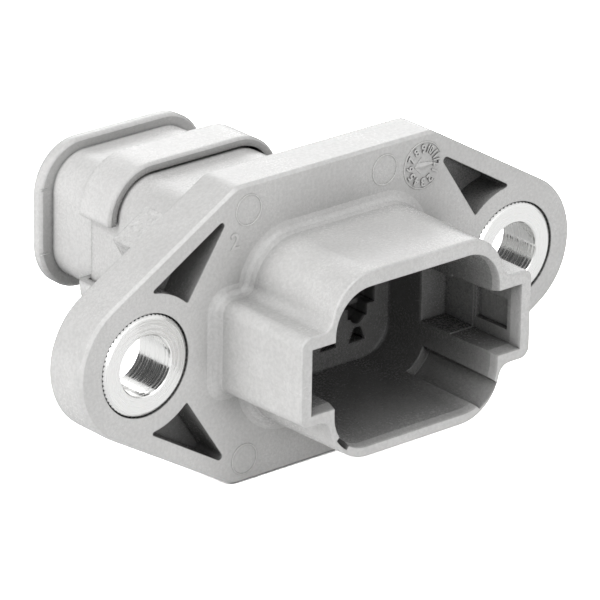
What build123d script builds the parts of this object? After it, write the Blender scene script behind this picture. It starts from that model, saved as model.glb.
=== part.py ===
"""Sealed flange-mount connector receptacle for eight contacts, with its rear cap. Millimetres.

X runs along the flange, Y from the mating side to the wire side, Z up. The origin lies on the
flange's front face, midway between the two fixing holes.
"""
from build123d import *
from math import cos, pi, radians, sin, tan
import os

# Flange plate
fixing_spacing = 53.34
flange_thickness = 5.35
flange_half_height = 17.6
flange_end_radius = 8.87
flange_slant_deg = 30.3
flange_corner_radius = 2.6
flange_edge_bevel = 0.35

# Three-sided lightening pockets in the flange's front face
pocket_depth = 4.3
pocket_edge_wall = 2.02
pocket_apex_x = 14.85
pocket_slant_deg = 30.7
pocket_lean_deg = 33.5
pocket_hole_wall = 2.2
pocket_corner_radius = 0.25
pocket_apex_radius = 0.42

# Metal compression limiters in the fixing holes
limiter_bore_radius = 3.5
limiter_bore_bevel = 0.12
limiter_radius = 5.92
limiter_face_radius = 5.4
limiter_nose_deg = 58
limiter_fit_gap = 0.06
limiter_stand_proud = 0.12
limiter_teeth = 64
limiter_tooth_depth = 0.22

# Mating shroud, outside
axis_z = -0.4
shroud_depth = 14.1
shroud_half_width = 12.4
shroud_top = 11.05
shroud_bottom = 10.75
shroud_corner_radius = 5.6
shroud_draft_deg = 0.9
root_flare = 1.2
root_flare_steps = 3
shroud_rim_bevel = 0.17
ear_half_width = 16.65
ear_top = 5.4
ear_bottom = 5.15
ear_corner_radius = 1.25
ear_blend_radius = 1.5

# Mating cavity
wall_top = 1.8
wall_bottom = 1.2
cavity_half_width = 11.85
cavity_corner_radius = 4.75
cavity_depth = 17.25
cavity_draft_deg = 2.6
lead_in_depth = 1.0
lead_in_width = 0.25

# Latch pockets in the ears
latch_wall = 1.5
latch_wall_below = 1.3
latch_depth = 11.95
latch_step_depth = 7.3
latch_step = 0.2
latch_lead_depth = 1.4
latch_lead_width = 0.3
catch_front = 1.95
catch_length = 5.05
catch_height = 3.6
catch_drop = 0.3
catch_recess = 0.65

# Keyways in the lower corners
keyway_wall = 0.4
keyway_depth = 11.3
keyway_width_left = 2.0
keyway_width_right = 3.5

# Contact cavities, two rows of four
contact_pitch = 4.2
row_offset = 3.05
contact_columns = 4
contact_bore_radius = 1.1
wedge_half_height = 2.08
wedge_end_margin = 2.5
wedge_depth = 9.0
finger_window_width = 2.8
finger_window_height = 1.35
finger_width = 1.5
finger_thickness = 0.6
finger_setback = 0.9
core_gap = 1.55
core_height = 1.7
core_top_width = 0.95
core_bottom_width = 2.4
core_depth = 8.0

# Rear body behind the flange
body_half_width = 11.1
body_top = 9.95
body_bottom = 8.05
body_corner_radius = 4.8
body_end = 29.0

# Textured pads on the slanted sides behind the flange
pad_length = 3.0
pad_width = 5.4
pad_height = 4.2
pad_centre_x = 22.2

# Wire seal in the rear body
seal_half_width = 9.3
seal_half_height = 5.9
seal_corner_radius = 2.6
seal_length = 7.5
seal_wire_radius = 1.35
seal_fit_gap = 0.06

# Rear cap
skirt_gap = 0.32
skirt_wall = 1.03
skirt_front = 24.06
skirt_front_bevel = 0.3
skirt_rear_bevel = 0.5
shoulder_gap = 0.1
shoulder_thickness = 0.85
notch_top = 4.9
notch_bottom = 3.0
neck_half_width = 10.25
neck_centre_z = 1.28
neck_half_height = 7.75
neck_corner_radius = 4.45
neck_wall = 1.35
lip_front = 37.1
lip_thickness = 1.85
lip_overhang_sides = 1.72
lip_overhang_above = 1.34
lip_front_bevel = 0.35
lip_rear_bevel = 0.5

overshoot = 1.0
position_tolerance = 0.01


def at_depth(y, sketch):
    """Moves an X-Z sketch to the depth y."""
    return Plane.XZ.offset(-y) * sketch


def prism(sketch, y_front, y_back):
    """Straight prism of an X-Z sketch between two depths."""
    return extrude(at_depth(y_front, sketch), amount=y_front - y_back)


def bevelled_prism(sketch, y_front, y_back, front_bevel, back_bevel=0):
    """Straight prism with the edges round its front face, and its back face, bevelled."""
    block = prism(sketch, y_front, y_back)
    block = chamfer(block.faces().sort_by(Axis.Y)[0].edges(), front_bevel)
    if back_bevel:
        block = chamfer(block.faces().sort_by(Axis.Y)[-1].edges(), back_bevel)
    return block


def narrowing(sketch, y_front, y_back, angle):
    """Prism of an X-Z sketch that narrows towards the wire side by a draft angle."""
    return extrude(at_depth(y_front, sketch), amount=y_front - y_back, taper=angle)


def rounded_box(half_width, bottom, top, radius):
    """Rounded rectangle in X-Z between two heights, centred in X."""
    middle = (bottom + top) / 2
    return Pos(0, middle) * RectangleRounded(2 * half_width, top - bottom, radius)


def mirrored(shape):
    """The shape with its mirror image across the YZ plane."""
    return [shape, mirror(shape, Plane.YZ)]


fixing_x = fixing_spacing / 2
slant = radians(flange_slant_deg)
slant_height = fixing_x * tan(slant) + flange_end_radius / cos(slant)
rim_y = -shroud_depth
cavity_floor_y = rim_y + cavity_depth


def flange_outline():
    """Plate outline: slanted sides tangent to round ends about the fixing holes."""
    top_x = (slant_height - flange_half_height) / tan(slant)
    tangent_x = fixing_x + flange_end_radius * sin(slant)
    tangent_z = flange_end_radius * cos(slant)
    end_x = fixing_x + flange_end_radius
    corners = [(top_x, flange_half_height), (-top_x, flange_half_height)]
    lower = [(-x, -z) for x, z in corners]
    edges = [
        Line(corners[1], corners[0]),
        Line(corners[0], (tangent_x, tangent_z)),
        ThreePointArc((tangent_x, tangent_z), (end_x, 0), (tangent_x, -tangent_z)),
        Line((tangent_x, -tangent_z), lower[1]),
        Line(lower[1], lower[0]),
        Line(lower[0], (-tangent_x, -tangent_z)),
        ThreePointArc((-tangent_x, -tangent_z), (-end_x, 0), (-tangent_x, tangent_z)),
        Line((-tangent_x, tangent_z), corners[1]),
    ]
    plate = make_face(edges)
    plate_corners = plate.vertices().filter_by(lambda v: abs(v.X) < top_x + position_tolerance)
    return fillet(plate_corners, flange_corner_radius)


def pocket_outline():
    """Pocket of the upper right: two straight sides and one round the fixing hole."""
    lean = radians(pocket_lean_deg)
    outer_slant = radians(pocket_slant_deg)
    apex_z = slant_height - pocket_apex_x * tan(slant) - pocket_edge_wall / cos(slant)
    triangle = make_face(
        Polyline(
            (pocket_apex_x, apex_z),
            (pocket_apex_x + apex_z * tan(lean), 0),
            (fixing_x, 0),
            (fixing_x, apex_z - (fixing_x - pocket_apex_x) * tan(outer_slant)),
            close=True,
        )
    )
    bore_radius = limiter_radius + limiter_fit_gap
    outline = triangle - Pos(fixing_x, 0) * Circle(bore_radius + pocket_hole_wall)
    outline = fillet(outline.vertices().sort_by(Axis.X)[1:], pocket_corner_radius)
    return fillet(outline.vertices().sort_by(Axis.X)[:1], pocket_apex_radius)


def pockets():
    """The four pockets of the flange."""
    upper = prism(pocket_outline(), -overshoot, pocket_depth)
    lower = mirror(upper, Plane.XY)
    return mirrored(upper) + mirrored(lower)


def shroud_outline():
    """Outside of the shroud at its rim: a rounded box with an ear at each end."""
    main = rounded_box(
        shroud_half_width, axis_z - shroud_bottom, axis_z + shroud_top, shroud_corner_radius
    )
    ears = rounded_box(
        ear_half_width, axis_z - ear_bottom, axis_z + ear_top, ear_corner_radius
    )
    return offset(offset(main + ears, ear_blend_radius), -ear_blend_radius)


def shroud():
    """Solid shroud that widens with its draft, then flares in steps into the flange."""
    straight = shroud_depth - root_flare
    body = extrude(at_depth(rim_y, shroud_outline()), amount=-straight, taper=-shroud_draft_deg)
    step_deg = 90 / root_flare_steps
    slope_length = 2 * root_flare * sin(radians(step_deg / 2))
    for step in range(root_flare_steps):
        lean_deg = (step + 0.5) * step_deg
        end = body.faces().sort_by(Axis.Y)[-1]
        body += extrude(end, amount=slope_length * cos(radians(lean_deg)), taper=-lean_deg)
    return body


def cavity_outline(inset):
    """Main mating cavity at the rim, smaller all round by an inset."""
    return rounded_box(
        cavity_half_width - inset,
        axis_z - shroud_bottom + wall_bottom + inset,
        axis_z + shroud_top - wall_top - inset,
        cavity_corner_radius - inset,
    )


def main_cavity():
    """Mating cavity with a bevelled mouth, narrowing to the contact face."""
    mouth = loft(
        [
            at_depth(rim_y, cavity_outline(0)),
            at_depth(rim_y + lead_in_depth, cavity_outline(lead_in_width)),
        ],
        ruled=True,
    )
    deep = narrowing(
        cavity_outline(lead_in_width), rim_y + lead_in_depth, cavity_floor_y, cavity_draft_deg
    )
    front = prism(cavity_outline(0), rim_y - overshoot, rim_y)
    return front + mouth + deep


def latch_outline(inset):
    """Both latch pockets and the gap between them at the rim, in one band."""
    half_width = ear_half_width - latch_wall - inset
    bottom = axis_z - ear_bottom + latch_wall_below + inset
    top = axis_z + ear_top - latch_wall - inset
    return Pos(0, (bottom + top) / 2) * Rectangle(2 * half_width, top - bottom)


def latch_pockets():
    """Latch pockets of both ears, with a bevelled mouth, a step and the catch recesses."""
    step_y = rim_y + latch_step_depth
    end_y = rim_y + latch_depth
    mouth_half = ear_half_width - latch_wall
    front = prism(latch_outline(latch_lead_width), rim_y, step_y)
    back = prism(latch_outline(latch_lead_width + latch_step), step_y, end_y)
    bevel = loft(
        [
            at_depth(rim_y, latch_outline(0)),
            at_depth(rim_y + latch_lead_depth, latch_outline(latch_lead_width)),
        ],
        ruled=True,
    )
    catch = Pos(0, axis_z - catch_drop) * Rectangle(
        2 * (mouth_half - latch_lead_width + catch_recess), catch_height
    )
    catches = prism(catch, rim_y + catch_front, rim_y + catch_front + catch_length)
    clear_front = prism(latch_outline(0), rim_y - overshoot, rim_y)
    return clear_front + front + back + bevel + catches


def keyway(side, width):
    """Keyway cut outwards across one lower corner of the cavity."""
    centre_x = side * (cavity_half_width - cavity_corner_radius)
    centre_z = axis_z - shroud_bottom + wall_bottom + cavity_corner_radius
    outer_x = side * (shroud_half_width - shroud_corner_radius)
    outer_z = axis_z - shroud_bottom + shroud_corner_radius
    shift = Vector(outer_x - centre_x, outer_z - centre_z)
    diagonal = Vector(side, -1).normalized()
    reach = shroud_corner_radius + shift.dot(diagonal) - keyway_wall
    bar = Pos(reach / 2, 0) * Rectangle(reach + 2 * overshoot, width)
    turned = Rot(0, 0, -45 if side > 0 else -135) * bar
    groove = turned & Circle(reach)
    return prism(Pos(centre_x, centre_z) * groove, rim_y - overshoot, rim_y + keyway_depth)


def contact_places():
    """Centres of the eight contacts, with the side of the wedge slot that each row is on."""
    first = -contact_pitch * (contact_columns - 1) / 2
    columns = [first + contact_pitch * i for i in range(contact_columns)]
    return [(x, row) for row in (1, -1) for x in columns]


def core_out(x, row):
    """Small trapezoid core-out beyond a contact bore."""
    near = row * (row_offset + core_gap)
    far = near + row * core_height
    face = make_face(
        Polyline(
            (x - core_top_width / 2, axis_z + near),
            (x + core_top_width / 2, axis_z + near),
            (x + core_bottom_width / 2, axis_z + far),
            (x - core_bottom_width / 2, axis_z + far),
            close=True,
        )
    )
    return prism(face, cavity_floor_y - overshoot, cavity_floor_y + core_depth)


def contact_block_cuts():
    """Contact bores, finger windows and core-outs, and the wedge slot between the rows."""
    floor_front = cavity_floor_y - overshoot
    wedge_half_width = contact_pitch * (contact_columns - 1) / 2 + wedge_end_margin
    slot = Pos(0, axis_z) * Rectangle(2 * wedge_half_width, 2 * wedge_half_height)
    cuts = [prism(slot, floor_front, cavity_floor_y + wedge_depth)]
    for x, row in contact_places():
        bore = Pos(x, axis_z + row * row_offset) * Circle(contact_bore_radius)
        window_z = axis_z + row * (wedge_half_height + finger_window_height / 2)
        window = Pos(x, window_z) * Rectangle(finger_window_width, finger_window_height)
        cuts.append(prism(bore, floor_front, body_end + overshoot))
        cuts.append(prism(window, floor_front, cavity_floor_y + wedge_depth))
        cuts.append(core_out(x, row))
    return cuts


def lock_fingers():
    """Moulded locking fingers that reach forward in the wedge slot, one to a contact."""
    root_y = cavity_floor_y + wedge_depth + overshoot
    tip_y = cavity_floor_y + finger_setback
    fingers = []
    for x, row in contact_places():
        z = axis_z + row * (wedge_half_height - finger_thickness / 2)
        blade = Pos(x, z) * Rectangle(finger_width, finger_thickness)
        fingers.append(prism(blade, tip_y, root_y))
    return fingers


def seal_outline(inset):
    """Outline of the wire seal and of its pocket, about the contact rows."""
    return rounded_box(
        seal_half_width - inset,
        axis_z - seal_half_height + inset,
        axis_z + seal_half_height - inset,
        seal_corner_radius - inset,
    )


def rear_body():
    """Rounded body behind the flange that the rear cap slides over."""
    outline = rounded_box(body_half_width, -body_bottom, body_top, body_corner_radius)
    return prism(outline, flange_thickness - overshoot, body_end)


def pads():
    """Textured pads flush with the flange's slanted sides, behind the plate."""
    centre_z = slant_height - pad_centre_x * tan(slant)
    pad = Pos(pad_centre_x, centre_z) * Rot(0, 0, -flange_slant_deg) * (
        Pos(0, -pad_height / 2) * Rectangle(pad_width, pad_height)
    )
    upper = prism(pad, flange_thickness - overshoot, flange_thickness + pad_length)
    lower = mirror(upper, Plane.XY)
    return mirrored(upper) + mirrored(lower)


def housing():
    """The one-piece moulding: flange, shroud, contact block and rear body."""
    plate = bevelled_prism(flange_outline(), 0, flange_thickness, flange_edge_bevel)
    body = plate + shroud()
    rim = body.faces().sort_by(Axis.Y)[0]
    body = chamfer(rim.edges(), shroud_rim_bevel)
    body = body + rear_body() + pads()
    bore = Circle(limiter_radius + limiter_fit_gap)
    bores = [
        prism(Pos(x, 0) * bore, -overshoot, flange_thickness + overshoot)
        for x in (-fixing_x, fixing_x)
    ]
    cuts = [main_cavity(), latch_pockets()]
    cuts += [keyway(-1, keyway_width_left), keyway(1, keyway_width_right)]
    cuts += contact_block_cuts() + pockets() + bores
    cuts.append(prism(seal_outline(0), body_end - seal_length, body_end + overshoot))
    body = body - cuts
    return body + lock_fingers()


def limiter():
    """Compression limiter: a bored sleeve with a tapered nose and straight teeth outside."""
    front = -limiter_stand_proud
    teeth = []
    for i in range(limiter_teeth):
        for turn, radius in ((0, limiter_radius), (0.5, limiter_radius - limiter_tooth_depth)):
            angle = 2 * pi * (i + turn) / limiter_teeth
            teeth.append((radius * cos(angle), radius * sin(angle)))
    toothed = prism(make_face(Polyline(*teeth, close=True)), front, flange_thickness)
    spread = (flange_thickness - front) * tan(radians(limiter_nose_deg))
    nose = loft(
        [
            at_depth(front, Circle(limiter_face_radius)),
            at_depth(flange_thickness, Circle(limiter_face_radius + spread)),
        ],
        ruled=True,
    )
    bore = prism(Circle(limiter_bore_radius), front - overshoot, flange_thickness + overshoot)
    sleeve = (toothed & nose) - bore
    front_edges = sleeve.faces().sort_by(Axis.Y)[0].edges()
    return chamfer(front_edges.sort_by(SortBy.RADIUS)[0], limiter_bore_bevel)


def wire_seal():
    """Rear seal: a soft block with a hole for each of the eight wires."""
    outline = seal_outline(seal_fit_gap)
    for x, row in contact_places():
        outline -= Pos(x, axis_z + row * row_offset) * Circle(seal_wire_radius)
    return prism(outline, body_end - seal_length + seal_fit_gap, body_end)


def neck_outline(grow_sides, grow_above):
    """Outline of the cap's neck, grown at its sides and above and below."""
    return rounded_box(
        neck_half_width + grow_sides,
        neck_centre_z - neck_half_height - grow_above,
        neck_centre_z + neck_half_height + grow_above,
        neck_corner_radius + (grow_sides + grow_above) / 2,
    )


def skirt_outline(grow):
    """Outline of the cap's skirt: the rear body's outline grown all round."""
    return rounded_box(
        body_half_width + grow, -body_bottom - grow, body_top + grow, body_corner_radius + grow
    )


def rear_cap():
    """Rear cap: a skirt over the rear body, a shoulder, and a neck with a lip for a boot."""
    shoulder_front = body_end + shoulder_gap
    shoulder_back = shoulder_front + shoulder_thickness
    outside = skirt_outline(skirt_gap + skirt_wall)
    skirt = bevelled_prism(
        outside, skirt_front, shoulder_back, skirt_front_bevel, skirt_rear_bevel
    )
    skirt = skirt - prism(skirt_outline(skirt_gap), skirt_front - overshoot, shoulder_front)
    notch_z = (notch_top - notch_bottom) / 2
    notch = Pos(neck_half_width + body_half_width / 2, notch_z) * Rectangle(
        body_half_width, notch_top + notch_bottom
    )
    skirt = skirt - mirrored(prism(notch, skirt_front - overshoot, shoulder_back + overshoot))
    neck = prism(neck_outline(0, 0), shoulder_front, lip_front + overshoot)
    lip_back = lip_front + lip_thickness
    lip_outline = neck_outline(lip_overhang_sides, lip_overhang_above)
    lip = bevelled_prism(lip_outline, lip_front, lip_back, lip_front_bevel, lip_rear_bevel)
    cap = skirt + neck + lip
    opening = neck_outline(-neck_wall, -neck_wall)
    return cap - prism(opening, shoulder_front - overshoot, lip_back + overshoot)


def main():
    os.makedirs("parts", exist_ok=True)
    export_step(housing(), "parts/housing.step")
    for name, side in (("left", -1), ("right", 1)):
        placed = Pos(side * fixing_x, 0, 0) * limiter()
        export_step(placed, f"parts/compression_limiter_{name}.step")
    export_step(wire_seal(), "parts/wire_seal.step")
    export_step(rear_cap(), "parts/rear_cap.step")


main()
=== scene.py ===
"""Sealed flange-mount connector receptacle in light grey moulded plastic, with two bright metal
limiters, standing on its flange's lower edge on a white table."""

from math import cos, radians, sin

import bmesh
import bpy
import numpy as np
from mathutils import Matrix, Vector


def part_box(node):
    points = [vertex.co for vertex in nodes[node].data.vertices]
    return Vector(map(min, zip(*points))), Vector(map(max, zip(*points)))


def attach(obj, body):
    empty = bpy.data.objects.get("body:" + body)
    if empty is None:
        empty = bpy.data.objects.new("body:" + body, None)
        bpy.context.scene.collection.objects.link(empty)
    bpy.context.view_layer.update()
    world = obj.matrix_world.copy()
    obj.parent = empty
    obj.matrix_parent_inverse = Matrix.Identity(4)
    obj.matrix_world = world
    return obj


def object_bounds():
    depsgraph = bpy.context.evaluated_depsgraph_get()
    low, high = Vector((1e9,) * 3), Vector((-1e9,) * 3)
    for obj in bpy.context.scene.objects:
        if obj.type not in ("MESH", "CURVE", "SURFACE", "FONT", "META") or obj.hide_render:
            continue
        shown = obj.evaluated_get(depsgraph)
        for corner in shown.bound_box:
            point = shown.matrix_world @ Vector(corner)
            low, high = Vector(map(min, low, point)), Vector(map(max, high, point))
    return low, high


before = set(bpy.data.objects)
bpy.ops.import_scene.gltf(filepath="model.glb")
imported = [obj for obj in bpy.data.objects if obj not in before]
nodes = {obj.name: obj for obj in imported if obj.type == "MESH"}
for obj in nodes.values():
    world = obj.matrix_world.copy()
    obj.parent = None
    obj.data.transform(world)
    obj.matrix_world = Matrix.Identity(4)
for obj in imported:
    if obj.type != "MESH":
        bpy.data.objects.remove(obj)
solid_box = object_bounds()

# Camera
# A long lens on a tripod, to the left of the mating side and a little above it, so that the
# flange, the shroud's mouth and the rear cap all show.
lens_mm = 342.89
sensor_mm = 36.0
camera_distance = 0.63062
camera_azimuth = radians(-40.728)
camera_elevation = radians(22.394)
camera_roll = radians(0.951)
picture_side = 600
flange_centre_column = 333.490
flange_centre_row = 307.455
pixel_at_flange = sensor_mm / lens_mm * camera_distance / picture_side
flange_centre_aside = (flange_centre_column - picture_side / 2) * pixel_at_flange
flange_centre_down = (flange_centre_row - picture_side / 2) * pixel_at_flange

backwards = Vector(
    (
        sin(camera_azimuth) * cos(camera_elevation),
        -cos(camera_azimuth) * cos(camera_elevation),
        sin(camera_elevation),
    )
)
level_right = (-backwards).cross(Vector((0, 0, 1))).normalized()
level_up = level_right.cross(-backwards)
camera_right = cos(camera_roll) * level_right + sin(camera_roll) * level_up
camera_up = -sin(camera_roll) * level_right + cos(camera_roll) * level_up
camera_place = camera_distance * backwards
camera_place += flange_centre_down * camera_up - flange_centre_aside * camera_right
camera_turn = Matrix((camera_right, camera_up, backwards)).transposed()

camera_data = bpy.data.cameras.new("camera")
camera_data.lens = lens_mm
camera_data.sensor_width = sensor_mm
camera_data.clip_start = 0.01
camera = bpy.data.objects.new("camera", camera_data)
camera.matrix_world = Matrix.Translation(camera_place) @ camera_turn.to_4x4()
bpy.context.scene.collection.objects.link(camera)
bpy.context.scene.camera = camera
bpy.context.scene.view_settings.view_transform = "Standard"

# Studio
# A white table in a white room, with soft boxes all round, the strongest high at the left. The
# room looks white but gives little light, so the mating cavity reads dark, and the housing's
# colour adds painted shade there too.
table_height = solid_box[0][2]
table_half_side = 4.0
table_colour = 0.95
table_lift = 3.6
dim_room = 0.20
card_grey = (0.10, 0.10, 0.10)
square = np.array([(-1, -1), (1, -1), (1, 1), (-1, 1)])


class Signal:
    """One number, colour or vector in a material, with the arithmetic that joins two of them."""

    def __init__(self, tree, socket):
        self.tree, self.socket = tree, socket

    def node(self, kind, settings=None, **inputs):
        """Adds a node: its settings first, then the value or link of each input.

        An input is named with _ for each space, or i and its number where names repeat.
        """
        made = self.tree.nodes.new(kind)
        for name, value in (settings or {}).items():
            setattr(made, name, value)
        for name, value in inputs.items():
            numbered = name[0] == "i" and name[1:].isdigit()
            socket = made.inputs[int(name[1:]) if numbered else name.replace("_", " ")]
            if isinstance(value, Signal):
                self.tree.links.new(value.socket, socket)
            else:
                socket.default_value = value
        return made

    def maths(self, operation, *values):
        """Adds one Math node on this signal and the values."""
        inputs = {f"i{i}": v for i, v in enumerate((self, *values))}
        made = self.node("ShaderNodeMath", {"operation": operation}, **inputs)
        return Signal(self.tree, made.outputs[0])

    def __add__(self, other):
        return self.maths("ADD", other)

    def __mul__(self, other):
        return self.maths("MULTIPLY", other)

    def __sub__(self, other):
        return self.maths("SUBTRACT", other)

    def __rsub__(self, other):
        return (self * -1.0) + other

    __radd__, __rmul__ = __add__, __mul__

    def band(self, low, high, out_low=0.0, out_high=1.0):
        """Maps low..high to out_low..out_high with a smooth step, and holds the ends."""
        made = self.node(
            "ShaderNodeMapRange",
            {"interpolation_type": "SMOOTHSTEP"},
            Value=self,
            From_Min=low,
            From_Max=high,
            To_Min=out_low,
            To_Max=out_high,
        )
        return Signal(self.tree, made.outputs[0])

    def between(self, dark, light):
        """Mixes two colours by this signal."""
        made = self.node(
            "ShaderNodeMix", {"data_type": "RGBA"}, i0=self, i6=(*dark, 1.0), i7=(*light, 1.0)
        )
        return Signal(self.tree, made.outputs[2])


def start_tree(owner):
    """Empties an owner's node tree and returns a signal that nodes are added from."""
    owner.use_nodes = True
    owner.node_tree.nodes.clear()
    return Signal(owner.node_tree, None)


def seen_or_mirrored(start, ray):
    """One for what the camera sees straight, in a mirror or through glass, else zero."""
    seen = Signal(start.tree, ray.outputs["Is Camera Ray"])
    for mirror_ray in ("Is Glossy Ray", "Is Transmission Ray"):
        seen = seen.maths("MAXIMUM", Signal(start.tree, ray.outputs[mirror_ray]))
    return seen


world = bpy.data.worlds.new("white_room")
bpy.context.scene.world = world
room = start_tree(world)
seen = seen_or_mirrored(room, room.node("ShaderNodeLightPath"))
glow = room.node(
    "ShaderNodeBackground", Color=(1, 1, 1, 1), Strength=seen.band(0, 1, dim_room, 1.0)
)
room.node("ShaderNodeOutputWorld", Surface=Signal(room.tree, glow.outputs[0]))

# The camera alone sees the table lifted, so that it shows white with the object's shadow.
table_paint = bpy.data.materials.new("white_table")
paint = start_tree(table_paint)
ray = paint.node("ShaderNodeLightPath")
looked_at = Signal(paint.tree, ray.outputs["Is Camera Ray"])
seen = seen_or_mirrored(paint, ray)
bright = seen.band(0, 1, table_colour, 1.0) + looked_at * table_lift
shade = paint.node("ShaderNodeCombineColor", Red=bright, Green=bright, Blue=bright)
matt = paint.node("ShaderNodeBsdfDiffuse", Color=Signal(paint.tree, shade.outputs[0]))
paint.node("ShaderNodeOutputMaterial", Surface=Signal(paint.tree, matt.outputs[0]))

table_mesh = bpy.data.meshes.new("table")
table_corners = [(x, y, table_height) for x, y in square * table_half_side]
table_mesh.from_pydata(table_corners, [], [(0, 1, 2, 3)])
table_mesh.materials.append(table_paint)
table = bpy.data.objects.new("table", table_mesh)
bpy.context.scene.collection.objects.link(table)


def soft_box(name, place, side, power):
    """A square lamp with a side in metres and a power in watts, turned to face the object."""
    data = bpy.data.lights.new(name, "AREA")
    data.shape = "RECTANGLE"
    data.size, data.size_y, data.energy = side, side, power
    lamp = bpy.data.objects.new(name, data)
    lamp.location = place
    lamp.rotation_euler = (-Vector(place)).to_track_quat("-Z", "Y").to_euler()
    bpy.context.scene.collection.objects.link(lamp)


soft_box("left_high", (-0.65, 0.05, 0.50), 0.4, 3.4)
soft_box("left_side", (-0.80, 0.10, 0.10), 0.4, 1.15)
soft_box("left_front_high", (-0.40, -0.40, 0.60), 0.4, 0.45)
soft_box("front_low", (-0.10, -0.55, 0.03), 0.3, 0.75)
soft_box("right_high", (0.65, 0.05, 0.50), 0.4, 1.0)
soft_box("right_back", (0.50, 0.60, 0.30), 0.5, 1.35)
soft_box("front_high", (0.00, -0.50, 0.70), 0.5, 2.2)

card_paint = bpy.data.materials.new("black_card")
black = start_tree(card_paint)
flat_black = black.node("ShaderNodeBsdfDiffuse", Color=(*card_grey, 1.0))
black.node("ShaderNodeOutputMaterial", Surface=Signal(black.tree, flat_black.outputs[0]))


def black_card(name, place, half_width, half_height):
    """A dark card outside the view, turned to the object, that shows only in reflections."""
    place = Vector(place)
    turn = place.to_track_quat("Z", "Y").to_matrix()
    corners = [place + turn @ Vector((u * half_width, v * half_height, 0)) for u, v in square]
    mesh = bpy.data.meshes.new(name)
    mesh.from_pydata(corners, [], [(0, 1, 2, 3)])
    mesh.materials.append(card_paint)
    card = bpy.data.objects.new(name, mesh)
    bpy.context.scene.collection.objects.link(card)
    card.visible_camera = card.visible_diffuse = card.visible_shadow = False


black_card("black_card_left", (-0.26, 0.35, 0.245), 0.29, 0.27)
black_card("black_card_right", (0.47, 0.10, 0.19), 0.12, 0.16)

# Housing and rear cap
# Both are moulded in light grey filled plastic, the cap's a little paler, from spark-eroded tools
# that leave a fine even grain and a soft, slightly uneven sheen.
mm = 0.001
moulded_grey = (0.615, 0.612, 0.605)
cap_grey = (0.680, 0.677, 0.670)
darkest, lightest = 0.90, 1.08
plastic_ior = 1.49

# Noise of the flow marks, the filler's speckle, the grain and the pads' stipple
cloud_scale = 90.0
speckle_scale = 2600.0
grain_scale = 4200.0
stipple_scale = 1000.0
noise_range = 0.3, 0.7
stipple_range = 0.40, 0.60
stipple_relief = 9.0
cloud_share = 0.45
speckle_share = 0.55
smoothest = 0.14
cloud_roughness = 0.10
grain_roughness = 0.14
grain_strength = 0.55

# Painted shade in nooks and seams, by how open they are: the range that fades, and the darkest
# painted shade
shade_samples = 4
nook_reach = 25.0 * mm
nook_range = 0.20, 0.80
cavity_range = 0.18, 0.98
painted_cavity_shade = 0.14
seam_reach = 0.45 * mm
seam_range = 0.20, 0.55
painted_seam_shade = 0.08
seam_edge_range = 0.45, 0.95
painted_seam_edge_shade = 0.70

# Zones of the housing: boxes by half width, half height and corner radius, and their depths. The
# cavity's shade is painted darker, the shroud's root looks rounder, and the pads are stippled.
zone_fade = 0.3 * mm
shroud_drop = 0.5 * mm
cavity_boxes = (11.9 * mm, 10.2 * mm, 5.2 * mm), (15.4 * mm, 4.3 * mm, 0.8 * mm)
cavity_front = -14.0 * mm
cavity_back = 4.8 * mm
root_boxes = (14.3 * mm, 13.0 * mm, 7.0 * mm), (18.6 * mm, 7.4 * mm, 3.0 * mm)
root_front = -1.9 * mm
root_round = 0.8 * mm
pad_front = 5.4 * mm
pad_inside = 13.0 * mm


def within(aside, height, boxes):
    """The zone inside any of several upright boxes with round corners, with soft edges.

    The distance outside a box is the length of the parts of (aside, height) that stick out past
    the middles of its corners, less the corners' radius.
    """
    zone = 0.0
    for half_width, half_height, corner in boxes:
        past_side = (aside - (half_width - corner)).maths("MAXIMUM", 0.0)
        past_top = (height - (half_height - corner)).maths("MAXIMUM", 0.0)
        outside = (past_side * past_side + past_top * past_top).maths("SQRT") - corner
        zone = outside.band(0.0, zone_fade, 1.0, 0.0).maths("MAXIMUM", zone)
    return zone


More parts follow.
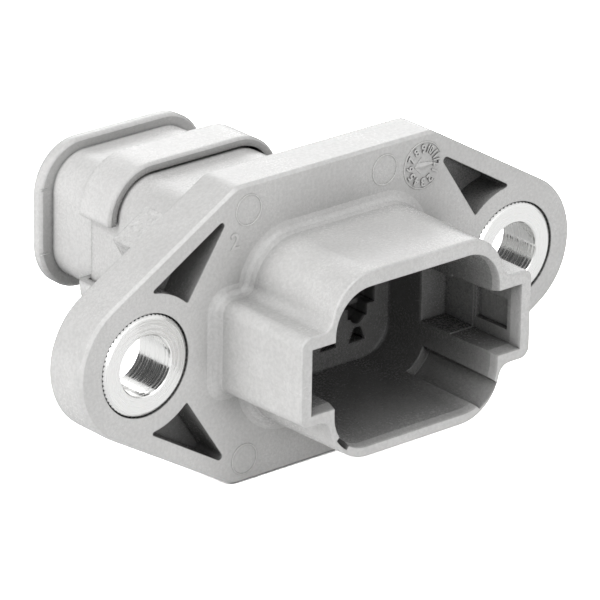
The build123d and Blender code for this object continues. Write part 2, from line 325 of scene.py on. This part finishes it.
def moulded_plastic(name, grey, grain_depth, edge_round, painted_nook_shade, shaded_alone=True):
    """Grey moulding: faint cloudy flow marks, a speckle of filler and a fine eroded grain.

    Its edges look rounded by edge_round, and more at the shroud's root. Shade is painted into the
    colour: nooks darken by how open they are, down to the shade given, and the mating cavity and
    narrow seams are painted darker still. The pads behind the flange have a coarse stipple. With
    shaded_alone, the other pieces cast no painted nook shade on it.
    """
    material = bpy.data.materials.new(name)
    start = start_tree(material)
    place = start.node("ShaderNodeTexCoord")
    where = Signal(start.tree, place.outputs["Object"])
    split = start.node("ShaderNodeSeparateXYZ", Vector=where)
    aside, depth, height = (Signal(start.tree, split.outputs[i]) for i in range(3))
    aside = aside.maths("ABSOLUTE")
    height = (height + shroud_drop).maths("ABSOLUTE")

    root = within(aside, height, root_boxes) * depth.band(root_front - zone_fade, root_front)
    cavity = within(aside, height, cavity_boxes)
    cavity = cavity * depth.band(cavity_front, cavity_front + zone_fade)
    cavity = cavity * depth.band(cavity_back, cavity_back + zone_fade, 1.0, 0.0)
    pad = depth.band(pad_front, pad_front + zone_fade)
    pad = pad * aside.band(pad_inside, pad_inside + zone_fade)

    cloud = start.node(
        "ShaderNodeTexNoise", Vector=where, Scale=cloud_scale, Detail=3.0, Roughness=0.6
    )
    speckle = start.node("ShaderNodeTexNoise", Vector=where, Scale=speckle_scale, Detail=2.0)
    grain = start.node(
        "ShaderNodeTexNoise", Vector=where, Scale=grain_scale, Detail=3.0, Roughness=0.7
    )
    stipple = start.node("ShaderNodeTexNoise", Vector=where, Scale=stipple_scale, Detail=1.0)
    clouds = Signal(start.tree, cloud.outputs[0])
    specks = Signal(start.tree, speckle.outputs[0])
    bumps = Signal(start.tree, grain.outputs[0])
    stipples = Signal(start.tree, stipple.outputs[0]).band(*stipple_range)

    nook = start.node(
        "ShaderNodeAmbientOcclusion",
        {"samples": shade_samples, "only_local": shaded_alone},
        Distance=nook_reach,
    )
    seam = start.node(
        "ShaderNodeAmbientOcclusion", {"samples": shade_samples}, Distance=seam_reach
    )
    wide = Signal(start.tree, nook.outputs["AO"])
    narrow = Signal(start.tree, seam.outputs["AO"])
    # Painted shade: the colour darkens in nooks, further in the mating cavity and in narrow seams,
    # by how open each point is.
    outside = wide.band(*nook_range, painted_nook_shade, 1.0)
    painted_shade_factor = outside + cavity * (wide.band(*cavity_range, painted_cavity_shade, 1.0) - outside)
    painted_shade_factor = painted_shade_factor * narrow.band(*seam_range, painted_seam_shade, 1.0)
    painted_shade_factor = painted_shade_factor * narrow.band(*seam_edge_range, painted_seam_edge_shade, 1.0)

    tone = clouds.band(*noise_range) * cloud_share + specks.band(*noise_range) * speckle_share
    open_colour = tone.between([c * darkest for c in grey], [c * lightest for c in grey])
    # The painted shade scales the colour.
    colour = start.node(
        "ShaderNodeVectorMath", {"operation": "SCALE"}, Vector=open_colour, Scale=painted_shade_factor
    )
    edge = start.node(
        "ShaderNodeBevel",
        {"samples": shade_samples},
        Radius=root * (root_round - edge_round) + edge_round,
    )
    relief = start.node(
        "ShaderNodeBump",
        Height=bumps + pad * stipples * stipple_relief,
        Strength=grain_strength,
        Distance=grain_depth,
        Normal=Signal(start.tree, edge.outputs[0]),
    )
    skin = start.node(
        "ShaderNodeBsdfPrincipled",
        Base_Color=Signal(start.tree, colour.outputs[0]),
        Roughness=clouds * cloud_roughness + bumps * grain_roughness + smoothest,
        IOR=plastic_ior,
        Normal=Signal(start.tree, relief.outputs[0]),
    )
    start.node("ShaderNodeOutputMaterial", Surface=Signal(start.tree, skin.outputs[0]))
    return material


def finish_node(name, material):
    """Gives a solid of the frame its finish in place of the plain one."""
    solid = nodes[name]
    solid.data.materials.clear()
    solid.data.materials.append(material)


housing_plastic = moulded_plastic(
    "grained_grey_plastic",
    moulded_grey,
    grain_depth=0.030 * mm,
    edge_round=0.22 * mm,
    painted_nook_shade=0.22,
)
cap_plastic = moulded_plastic(
    "smooth_grey_plastic",
    cap_grey,
    grain_depth=0.012 * mm,
    edge_round=0.25 * mm,
    painted_nook_shade=0.40,
    shaded_alone=False,
)
finish_node("housing", housing_plastic)
finish_node("rear_cap", cap_plastic)

# Marks of the moulding tools
# The ejector pins leave fine rings on the flange's front face, and the date insert leaves a ring
# with figures and an arrow. A digit names the tool's cavity. The slides of the tool leave thin
# lines across the cap's lip, painted pale as a highlight along them.
line_width = 0.20 * mm
line_height = 0.11 * mm
sunk = 0.03 * mm
# The marks get no painted nook shade, but narrow seams still paint shade on them.
mark_finish = {"grain_depth": 0.012 * mm, "edge_round": 0.03 * mm, "painted_nook_shade": 1.0}
# The slide lines' pale grey is a painted highlight.
flash_painted_highlight_grey = (0.95, 0.95, 0.94)

pin_radius = 1.75 * mm
pin_places = {
    "upper_left": (-12.4 * mm, 14.6 * mm),
    "upper_middle": (7.1 * mm, 14.6 * mm),
    "lower_left": (-12.6 * mm, -14.8 * mm),
}
dial_x, dial_z = 12.7 * mm, 13.8 * mm
dial_radius = 2.72 * mm
dial_opening = radians(-48), radians(22)
hour_radius = 1.98 * mm
hour_size = 1.36 * mm
hour_height = 0.20 * mm
hour_step_deg = 30
twelve_deg = 90
two_digit_narrowing = 0.72
arrow_half = np.array([(-1.31, 0.0), (-0.25, 1.0), (-0.42, 0.42), (1.35, 0.16)]) * mm
arrow_edge = 0.06 * mm
arrow_ridge = 0.28 * mm
cavity_digit_place = (-14.3 * mm, 11.4 * mm)
cavity_digit_size = 2.7 * mm
cavity_digit_height = 0.09 * mm
stroke_gain = 0.028 * mm
weld_distance = 0.0005 * mm

cap_low, cap_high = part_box("rear_cap")
lip_thickness = 1.85 * mm
lip_overhang = 1.72 * mm
lip_front_y = cap_high[1] - lip_thickness
slide_lines_z = {"upper": 5.3 * mm, "lower": -2.6 * mm}
slide_inset = 0.45 * mm
slide_width = 0.18 * mm
slide_height = 0.06 * mm
slide_steps = 5


def add_mark(name, mesh, material):
    """Puts a finished mesh in the scene as a raised mark of the mouldings."""
    mesh.materials.clear()
    mesh.materials.append(material)
    piece = bpy.data.objects.new(name, mesh)
    bpy.context.scene.collection.objects.link(piece)
    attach(piece, "root")


def bead_mesh(name, path, face_y, width, height, closed=False, sides=10):
    """A low bead on a face that looks to -Y, along a path of (x, z) points.

    At the angle t round its section, from the side of the path to the face's normal, a point is
    the path's point + side * width / 2 * cos t + normal * sin t * (height above, sunk below).
    """
    path = np.asarray(path, float)
    steps = len(path)
    if closed:
        along = np.roll(path, -1, axis=0) - np.roll(path, 1, axis=0)
    else:
        along = np.gradient(path, axis=0)
    along /= np.linalg.norm(along, axis=1, keepdims=True)
    t = np.linspace(0, 2 * np.pi, sides, endpoint=False)
    across = width / 2 * np.cos(t)
    out = np.sin(t) * np.where(np.sin(t) > 0, height, sunk)
    points = np.empty((steps, sides, 3))
    points[..., 0] = path[:, None, 0] + along[:, None, 1] * across
    points[..., 1] = face_y - out
    points[..., 2] = path[:, None, 1] - along[:, None, 0] * across
    index = np.arange(steps * sides).reshape(steps, sides)
    here = index if closed else index[:-1]
    after = np.roll(index, -1, axis=0) if closed else index[1:]
    faces = np.stack([here, after, np.roll(after, -1, axis=1), np.roll(here, -1, axis=1)], axis=-1)
    faces = faces.reshape(-1, 4).tolist()
    if not closed:
        faces += [index[0].tolist(), index[-1][::-1].tolist()]
    mesh = bpy.data.meshes.new(name)
    mesh.from_pydata(points.reshape(-1, 3).tolist(), [], faces)
    mesh.shade_smooth()
    return mesh


def arc_path(x, z, radius, start, end, steps=72):
    """Points on an arc, both ends included: centre + radius * (cos a, sin a)."""
    angle = np.linspace(start, end, steps)
    return np.stack([x + radius * np.cos(angle), z + radius * np.sin(angle)], axis=1)


def circle_path(x, z, radius, steps=72):
    """Points on a whole circle, the first not repeated: centre + radius * (cos a, sin a)."""
    return arc_path(x, z, radius, 0.0, 2 * np.pi, steps + 1)[:-1]


def figure_mesh(text, size, height, place, turn, narrowing=1.0):
    """A raised figure on the flange's front face, its middle at a place and turned clockwise.

    A point (right, up) of the flat figure goes to the place + right * (cos turn, -sin turn)
    + up * (sin turn, cos turn), from sunk behind the face to the height in front of it.
    """
    outline = bpy.data.curves.new("figure_outline", "FONT")
    outline.body = text
    outline.size = size
    outline.align_x, outline.align_y = "CENTER", "CENTER"
    outline.extrude = height / 2 + sunk / 2
    outline.offset = stroke_gain
    outline.resolution_u = 4
    holder = bpy.data.objects.new("figure_outline", outline)
    flat = bpy.data.meshes.new_from_object(holder)
    bpy.data.objects.remove(holder)
    edit = bmesh.new()
    edit.from_mesh(flat)
    bmesh.ops.remove_doubles(edit, verts=edit.verts, dist=weld_distance)
    bmesh.ops.recalc_face_normals(edit, faces=edit.faces)
    edit.to_mesh(flat)
    edit.free()
    points = np.empty(len(flat.vertices) * 3)
    flat.vertices.foreach_get("co", points)
    right, up, out = points.reshape(-1, 3).T
    right = (right - (right.min() + right.max()) / 2) * narrowing
    up = up - (up.min() + up.max()) / 2
    placed = np.stack(
        [
            place[0] + right * cos(turn) + up * sin(turn),
            -(out + height / 2 - sunk / 2),
            place[1] - right * sin(turn) + up * cos(turn),
        ],
        axis=1,
    )
    flat.vertices.foreach_set("co", placed.ravel())
    flat.update()
    return flat


def arrow_mesh(name):
    """The dial's raised arrow, its tip at -x: an outline, and a ridge along its middle line.

    The outline is the upper half from tip to tail, then its mirror image back to the tip. Points
    0 to 6 go round it, 7 and 8 are the ridge's ends, and 9 to 15 lie behind the outline.
    """
    outline = np.concatenate([arrow_half, arrow_half[:0:-1] * (1, -1)])
    ridge = arrow_half[2:] * (1, 0)
    flat = np.concatenate([outline, ridge, outline])
    forward = np.repeat([arrow_edge, arrow_ridge, -sunk], [len(outline), len(ridge), len(outline)])
    points = np.stack([dial_x + flat[:, 0], -forward, dial_z + flat[:, 1]], axis=1)
    upper = [(2, 1, 0), (7, 2, 0), (7, 8, 3, 2)]
    lower = [(0, 6, 5), (0, 5, 7), (5, 4, 8, 7)]
    back = [tuple(range(9, 16))]
    walls = [(0, 1, 10, 9), (1, 2, 11, 10), (2, 3, 12, 11), (3, 8, 4, 13, 12)]
    walls += [(4, 5, 14, 13), (5, 6, 15, 14), (6, 0, 9, 15)]
    mesh = bpy.data.meshes.new(name)
    mesh.from_pydata(points.tolist(), [], upper + lower + back + walls)
    return mesh


crisp = moulded_plastic("crisp_grey_plastic", moulded_grey, **mark_finish)
for corner, place in pin_places.items():
    name = f"ejector_ring_{corner}"
    path = circle_path(*place, pin_radius)
    add_mark(name, bead_mesh(name, path, 0, line_width, line_height, closed=True), crisp)

dial_path = arc_path(dial_x, dial_z, dial_radius, dial_opening[1], dial_opening[0] + 2 * np.pi)
add_mark("dial_ring", bead_mesh("dial_ring", dial_path, 0, line_width, line_height), crisp)
for hour in range(1, 13):
    turn = radians(twelve_deg + hour_step_deg * hour)
    place = dial_x + hour_radius * sin(turn), dial_z + hour_radius * cos(turn)
    narrowing = 1.0 if hour < 10 else two_digit_narrowing
    figure = figure_mesh(str(hour), hour_size, hour_height, place, turn, narrowing)
    add_mark(f"dial_hour_{hour:02d}", figure, crisp)
add_mark("dial_arrow", arrow_mesh("dial_arrow"), crisp)
digit = figure_mesh("2", cavity_digit_size, cavity_digit_height, cavity_digit_place, 0.0)
add_mark("cavity_digit", digit, crisp)

# The slide lines are painted pale, as a highlight along them.
flash_painted_highlight = moulded_plastic("flash_plastic_painted_highlight", flash_painted_highlight_grey, **mark_finish)
for side, outer_x in (("left", cap_low[0]), ("right", cap_high[0])):
    inwards = -np.sign(outer_x)
    ends = outer_x + inwards * np.array([slide_inset, lip_overhang])
    for height_name, z in slide_lines_z.items():
        name = f"slide_line_{side}_{height_name}"
        path = np.stack([np.linspace(*ends, slide_steps), np.full(slide_steps, z)], axis=1)
        line = bead_mesh(name, path, lip_front_y, slide_width, slide_height)
        add_mark(name, line, flash_painted_highlight)

# Compression limiters
# Turned and knurled steel sleeves, pressed in so that the screw clamps on metal. The end faces
# show the turning lines, and shade is painted dark into the gaps between the teeth outside.
bright_steel = (0.88, 0.88, 0.87)
# The dark grey that the steel's colour is painted down to where it is enclosed, as shade.
painted_groove_shade = (0.10, 0.10, 0.10)
turning_scale = 3500.0
turning_depth = 0.01 * mm
turning_strength = 0.6
steel_smoothest = 0.04
steel_roughness = 0.30
knurl_reach = 1.5 * mm
knurl_range = 0.40, 0.95
sleeve_low, sleeve_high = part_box("compression_limiter_right")
fixing_x = (sleeve_low[0] + sleeve_high[0]) / 2


def turned_steel(name):
    """Bright steel with fine turning lines round each fixing hole's axis.

    The lines follow the distance from the axis + the depth, so they run round the end faces, the
    bore and the outside alike. Shade is painted into the colour, darker towards a near-black grey
    where the steel is enclosed, as in the knurl's grooves.
    """
    material = bpy.data.materials.new(name)
    start = start_tree(material)
    place = start.node("ShaderNodeTexCoord")
    where = Signal(start.tree, place.outputs["Object"])
    split = start.node("ShaderNodeSeparateXYZ", Vector=where)
    across, depth, up = (Signal(start.tree, split.outputs[i]) for i in range(3))
    aside = across.maths("ABSOLUTE") - fixing_x
    cut = (aside * aside + up * up).maths("SQRT") + depth
    rings = start.node(
        "ShaderNodeTexNoise", {"noise_dimensions": "1D"}, W=cut, Scale=turning_scale, Detail=3.0
    )
    lines = Signal(start.tree, rings.outputs[0])
    nook = start.node(
        "ShaderNodeAmbientOcclusion", {"samples": shade_samples}, Distance=knurl_reach
    )
    # Painted shade: the steel's colour darkens where it is enclosed, as in the knurl's grooves.
    painted_shade_factor = Signal(start.tree, nook.outputs["AO"]).band(*knurl_range)
    relief = start.node(
        "ShaderNodeBump", Height=lines, Strength=turning_strength, Distance=turning_depth
    )
    skin = start.node(
        "ShaderNodeBsdfPrincipled",
        Base_Color=painted_shade_factor.between(painted_groove_shade, bright_steel),
        Metallic=1.0,
        Roughness=lines.band(*noise_range) * steel_roughness + steel_smoothest,
        Normal=Signal(start.tree, relief.outputs[0]),
    )
    start.node("ShaderNodeOutputMaterial", Surface=Signal(start.tree, skin.outputs[0]))
    return material


sleeve_steel = turned_steel("turned_bright_steel")
for side in ("left", "right"):
    finish_node(f"compression_limiter_{side}", sleeve_steel)

# Wire seal
# A soft rubber block with a hole for each wire, moulded with a dull skin.
seal_black = (0.035, 0.035, 0.037)
bloom_scale = 1500.0
bloom_dark, bloom_light = 0.8, 1.5
rubber_smoothest = 0.5
bloom_roughness = 0.2


def moulded_rubber(name):
    """Dull dark rubber with a light bloom."""
    material = bpy.data.materials.new(name)
    start = start_tree(material)
    place = start.node("ShaderNodeTexCoord")
    where = Signal(start.tree, place.outputs["Object"])
    bloom = start.node("ShaderNodeTexNoise", Vector=where, Scale=bloom_scale)
    cloud = Signal(start.tree, bloom.outputs[0])
    skin = start.node(
        "ShaderNodeBsdfPrincipled",
        Base_Color=cloud.between(
            [c * bloom_dark for c in seal_black], [c * bloom_light for c in seal_black]
        ),
        Roughness=cloud * bloom_roughness + rubber_smoothest,
    )
    start.node("ShaderNodeOutputMaterial", Surface=Signal(start.tree, skin.outputs[0]))
    return material


finish_node("wire_seal", moulded_rubber("dull_black_rubber"))
